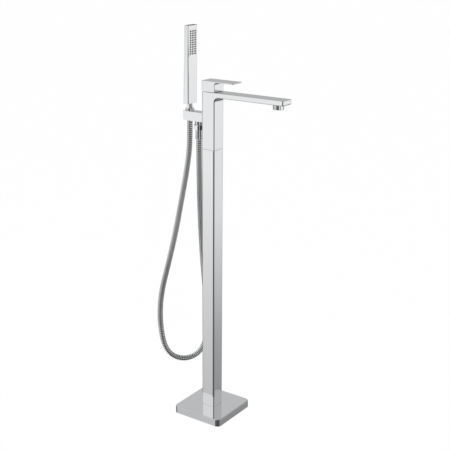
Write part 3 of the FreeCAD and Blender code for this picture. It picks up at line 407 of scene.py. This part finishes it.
def smooth(piece):
    """Smooth shading, with the real edges kept sharp and the flat faces flat."""
    piece.data.shade_smooth()
    piece.data.set_sharp_from_angle(angle=SHARP_ANGLE)
    normals = piece.modifiers.new("flat_faces", "WEIGHTED_NORMAL")
    normals.keep_sharp = True


SPLINE_STEPS = 48  # points on the curve between two points of the route
RINGS_PER_TURN = 8
PATH_SPACING = 0.004
CREST_SHARE, GROOVE_POWER = 0.35, 1.5  # flat share of each half turn, and how sharply the rest falls


def spline_points(name, route):
    """Points along the smooth line that a route's points steer, read from its NURBS spline."""
    curve = bpy.data.curves.new(name, "CURVE")
    curve.dimensions = "3D"
    curve.resolution_u = SPLINE_STEPS
    spline = curve.splines.new("NURBS")
    spline.points.add(len(route) - 1)
    for point, place in zip(spline.points, route):
        point.co = (*place, 1)
    spline.order_u = 3
    spline.use_endpoint_u = True
    carrier = bpy.data.objects.new(name, curve)
    bpy.context.scene.collection.objects.link(carrier)
    bpy.context.view_layer.update()
    line = bpy.data.meshes.new_from_object(carrier)
    places = [vertex.co.copy() for vertex in line.vertices]
    bpy.data.objects.remove(carrier)
    bpy.data.meshes.remove(line)
    return places


def evenly(places, spacing):
    """The same line with points an even distance apart, and its length."""
    lengths = [0.0]
    for first, second in zip(places, places[1:]):
        lengths.append(lengths[-1] + (second - first).length)
    total = lengths[-1]
    count = max(2, round(total / spacing))
    result, index = [], 0
    for step in range(count + 1):
        wanted = total * step / count
        while index < len(lengths) - 2 and lengths[index + 1] < wanted:
            index += 1
        share = (wanted - lengths[index]) / max(lengths[index + 1] - lengths[index], 1e-9)
        result.append(places[index].lerp(places[index + 1], share))
    return result, total


def wound_tube(name, line, spacing, turns_before, settings):
    """A tube of wound strip along a line; the groove runs round it as a helix."""
    mesh = bpy.data.meshes.new(name)
    verts, faces, grooves = [], [], []
    around = settings.around
    for index, place in enumerate(line):
        before = line[max(index - 1, 0)]
        after = line[min(index + 1, len(line) - 1)]
        heading = (after - before).normalized()
        across = (HOSE_STEADY - heading * heading.dot(HOSE_STEADY)).normalized()
        up = heading.cross(across)
        turn = turns_before + index * spacing / settings.pitch
        for side in range(around):
            angle = 2 * math.pi * side / around
            depth = groove_depth((turn + side / around) % 1)
            radius = settings.radius - settings.groove * depth
            verts.append(place + (across * math.cos(angle) + up * math.sin(angle)) * radius)
            grooves.append(depth)
    for ring in range(len(line) - 1):
        for side in range(around):
            next_side = (side + 1) % around
            low, high = ring * around, (ring + 1) * around
            faces.append((low + side, low + next_side, high + next_side, high + side))
    mesh.from_pydata(verts, [], faces)
    attribute = mesh.attributes.new("groove", "FLOAT", "POINT")
    attribute.data.foreach_set("value", grooves)
    mesh.shade_smooth()
    tube = bpy.data.objects.new(name, mesh)
    bpy.context.scene.collection.objects.link(tube)
    return tube


def groove_depth(phase):
    """How deep the surface lies, 0 on the crest and 1 in the groove, over one turn of the strip."""
    distance = abs(phase - 0.5) / 0.5  # 1 at the groove, 0 at the middle of the crest
    return max(0.0, (distance - CREST_SHARE) / (1 - CREST_SHARE)) ** GROOVE_POWER


class FILLER_OT_hose(bpy.types.Operator):
    """Wind the hose's two strands along their routes"""
    bl_idname = "filler.hose"
    bl_label = "Hose"

    def execute(self, context):
        settings = context.scene.filler_hose
        strip = hose_metal(context.scene.filler_finish)
        spacing = settings.pitch / RINGS_PER_TURN
        turns = 0.0
        for name, route in (("hose_drop", DROP_ROUTE), ("hose_riser", RISER_ROUTE)):
            line, length = evenly(spline_points(name + "_line", route), spacing)
            step = length / (len(line) - 1)
            tube = wound_tube(name + "_wound", line, step, turns, settings)
            tube.data.materials.append(strip)
            turns += length / settings.pitch
            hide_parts(name)
            sparse, _ = evenly(line, PATH_SPACING)
            if name == "hose_drop":
                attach(tube, STAND)
            else:
                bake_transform(tube)
        return {"FINISHED"}


# The studio that the plating mirrors. A ray's slope is its height over its level distance, down is the same
# counted downwards, and compass is its direction in degrees from +X towards +Y. A pair is the start and end of
# a smooth change. The room is pale and falls off to grey towards the floor, sooner on one side than on the
# other, with a grey ceiling for flat tops.
LEFT_RAMP = [(0.0, 0.7), (0.17, 0.98), (0.25, 0.98), (0.45, 0.7), (0.55, 0.6)]
RIGHT_RAMP = [(0.0, 0.85), (0.12, 1.0), (0.2, 0.95), (0.3, 0.85), (0.45, 0.42), (0.55, 0.3)]
UP_RAMP = [(0.0, 0.9), (0.1, 0.55), (0.2, 0.47), (0.5, 0.6)]
RIGHT_SIDE = (0.568, 0.823)  # x and y of the level direction in the middle of the right side
LOW_SIDES, HIGH_SIDES = (-0.6, 0.6), (-0.9, -0.1)  # from the left side to the right one
HORIZON = (-0.04, 0.04)
LEAST_LEVEL = 0.001  # keeps the slope of an upright ray finite
# Steep rays find one side pale, the other grey and a dark core between, which upward rays find too.
STEEP_DOWN, STEEP_UP = (0.54, 0.68), (0.60, 0.75)
STEEP_PALE, STEEP_GREY, STEEP_CORE = 1.0, 0.36, 0.98
CORE_START, CORE_END = (-105, -85), (-20, 5)
HIGH_CORE, HIGH_CORE_FADE = 0.5, (-0.12, -0.05)
# A dark strip low over the horizon, narrow enough to leave flat tops pale from behind.
STRIP_START, STRIP_END = (112, 118), (131, 137)
STRIP_LOW, STRIP_HIGH, STRIP_DEPTH = (0.03, 0.07), (0.11, 0.14), 0.85
# Black flags round the studio, from and to these compass degrees; gaps keep flat faces pale from the usual
# sides and the lever pale at both ends of its turn.
FLAGS = [(-117, -94), (-87, -48), (-30, -14), (64, 85), (95, 131), (150, 173), (-175, -149)]
FLAG_EDGE = 1  # degrees to each side over which a flag's edge fades
FLAG_TOP, FLAG_FOOT = (0.125, 0.155), (0.56, 0.66)

FLOOR_HALF_WIDTH, FLOOR_DEPTH = 30, 0.0004  # it lies this far under the part, so that no faces meet
LAMP_TARGET, LAMP_WIDTH = (0, 0, 0.5), 2.0
LAMPS = [("key_lamp", (1.6, -1.8, 2.6), 30), ("fill_lamp", (-2.2, -1.2, 1.8), 14)]
SENSOR_WIDTH = 36


def studio_world(settings):
    """White to the camera and, for what mirrors it, a pale graded room with black flags."""
    world = bpy.data.worlds.new("studio")
    bpy.context.scene.world = world
    world.use_nodes = True
    graph = Graph(world.node_tree)
    camera_ray = graph.add("ShaderNodeLightPath")
    glossy_ray = Term(graph, graph.last.outputs["Is Glossy Ray"])
    direction = graph.add("ShaderNodeTexCoord", out=0)
    x, y, z = graph.parts(direction)
    level = (x * x + y * y).math("SQRT").math("MAXIMUM", LEAST_LEVEL)
    slope = z / level
    down = -1 * slope
    compass = y.math("ARCTAN2", x) * (180 / math.pi)
    right = (x * RIGHT_SIDE[0] + y * RIGHT_SIDE[1]) / level
    side = right.step(*LOW_SIDES)
    core = compass.between(CORE_START, CORE_END)
    low = graph.mix(side, graph.ramp(down, LEFT_RAMP), graph.ramp(down, RIGHT_RAMP))
    high = graph.mix(right.step(*HIGH_SIDES), STEEP_PALE, graph.ramp(slope, UP_RAMP))
    tone = graph.mix(slope.step(*HORIZON), low, high) * (1 - core * slope.step(*HIGH_CORE_FADE) * HIGH_CORE)
    steep = graph.mix(side, STEEP_PALE, STEEP_GREY) * (1 - core * STEEP_CORE)
    tone = graph.mix(down.step(*STEEP_DOWN) + slope.step(*STEEP_UP), tone, steep)
    strip = compass.between(STRIP_START, STRIP_END) * slope.between(STRIP_LOW, STRIP_HIGH)
    tone = tone * (1 - strip * STRIP_DEPTH)
    flagged = 0
    for flag in FLAGS:
        edges = [(angle - FLAG_EDGE, angle + FLAG_EDGE) for angle in flag]
        flagged = compass.between(*edges) + flagged
    flagged = flagged * down.between(FLAG_TOP, FLAG_FOOT)
    tone = tone * (1 - flagged * settings.flag_depth)
    colour = graph.add("ShaderNodeCombineColor", None, {0: tone, 1: tone, 2: tone})
    plain = graph.add("ShaderNodeBackground", None, {"Color": (0.9, 0.9, 0.9, 1), "Strength": 0.75})
    mirrored = graph.add("ShaderNodeBackground", None, {"Color": colour, "Strength": 1.0})
    white = graph.add("ShaderNodeBackground", None, {"Color": (1, 1, 1, 1), "Strength": 1.0})
    shader = graph.shader_blend(glossy_ray, plain, mirrored)
    shader = graph.shader_blend(camera_ray, shader, white)
    graph.add("ShaderNodeOutputWorld", None, {"Surface": shader})


def studio_floor(settings):
    """A wide pale floor: white to the camera but for soft shadows; the plating mirrors the room instead."""
    mesh = bpy.data.meshes.new("studio_floor")
    work = bmesh.new()
    bmesh.ops.create_grid(work, x_segments=1, y_segments=1, size=FLOOR_HALF_WIDTH)
    work.to_mesh(mesh)
    work.free()
    floor = bpy.data.objects.new("studio_floor", mesh)
    bpy.context.scene.collection.objects.link(floor)
    floor.location.z = -FLOOR_DEPTH
    floor.visible_glossy = False
    material, graph, _ = finish_graph("studio_floor")
    camera_ray = graph.add("ShaderNodeLightPath")
    lit = graph.add("ShaderNodeBsdfDiffuse", None, {"Color": opaque(settings.floor)})
    glow = graph.add("ShaderNodeEmission", None, {"Color": (1, 1, 1, 1), "Strength": 1.0})
    seen = graph.shader_blend(settings.floor_glow, lit, glow)
    graph.surface(graph.shader_blend(camera_ray, lit, seen))
    mesh.materials.append(material)


def soft_light(name, place, power):
    """A large soft lamp that lights matt pieces and isn't mirrored in the plating."""
    lamp = bpy.data.lights.new(name, "AREA")
    lamp.shape = "SQUARE"
    lamp.size = LAMP_WIDTH
    lamp.energy = power
    carrier = bpy.data.objects.new(name, lamp)
    bpy.context.scene.collection.objects.link(carrier)
    carrier.location = place
    carrier.rotation_euler = (Vector(LAMP_TARGET) - Vector(place)).to_track_quat("-Z", "Y").to_euler()
    carrier.visible_glossy = False


def studio_camera(settings):
    """The camera of the photograph."""
    a, e, roll = settings.azimuth, settings.elevation, settings.roll
    back = Vector((math.sin(a) * math.cos(e), -math.cos(a) * math.cos(e), math.sin(e)))
    level = Vector((math.cos(a), math.sin(a), 0))
    up = back.cross(level)
    right = level * math.cos(roll) + up * math.sin(roll)
    up = back.cross(right)
    lens = bpy.data.cameras.new("camera")
    lens.lens = settings.lens
    lens.sensor_width = SENSOR_WIDTH
    lens.clip_end = 100
    camera = bpy.data.objects.new("camera", lens)
    bpy.context.scene.collection.objects.link(camera)
    axes = Matrix((right, up, back)).transposed().to_4x4()
    camera.matrix_world = Matrix.Translation(settings.place) @ axes
    bpy.context.scene.camera = camera


class FILLER_OT_studio(bpy.types.Operator):
    """Set up the floor, the room, the lamps and the camera"""
    bl_idname = "filler.studio"
    bl_label = "Studio"

    def execute(self, context):
        settings = context.scene.filler_studio
        studio_world(settings)
        studio_floor(settings)
        for name, place, power in LAMPS:
            soft_light(name, place, power)
        studio_camera(settings)
        context.scene.view_settings.view_transform = "Standard"
        return {"FINISHED"}


class FILLER_PT_panel(bpy.types.Panel):
    """The steps that dress the bath filler"""
    bl_idname = "FILLER_PT_panel"
    bl_label = "Bath Filler"
    bl_space_type = "VIEW_3D"
    bl_region_type = "UI"
    bl_category = "Bath Filler"

    def draw(self, context):
        for operator in OPERATORS:
            self.layout.operator(operator.bl_idname)
        for name in SETTINGS:
            group = getattr(context.scene, name)
            for key in group.__annotations__:
                self.layout.prop(group, key)


OPERATORS = (FILLER_OT_finishes, FILLER_OT_hose, FILLER_OT_studio)
SETTINGS = {"filler_finish": FinishSettings, "filler_hose": HoseSettings, "filler_studio": StudioSettings}


def register():
    for group in SETTINGS.values():
        bpy.utils.register_class(group)
    for name, group in SETTINGS.items():
        setattr(bpy.types.Scene, name, bpy.props.PointerProperty(type=group))
    for operator in (*OPERATORS, FILLER_PT_panel):
        bpy.utils.register_class(operator)


def unregister():
    for operator in (*OPERATORS, FILLER_PT_panel):
        bpy.utils.unregister_class(operator)
    for name, group in SETTINGS.items():
        delattr(bpy.types.Scene, name)
        bpy.utils.unregister_class(group)


def main():
    register()
    for operator in OPERATORS:
        group, name = operator.bl_idname.split(".")
        getattr(getattr(bpy.ops, group), name)()


if __name__ == "__main__":
    main()
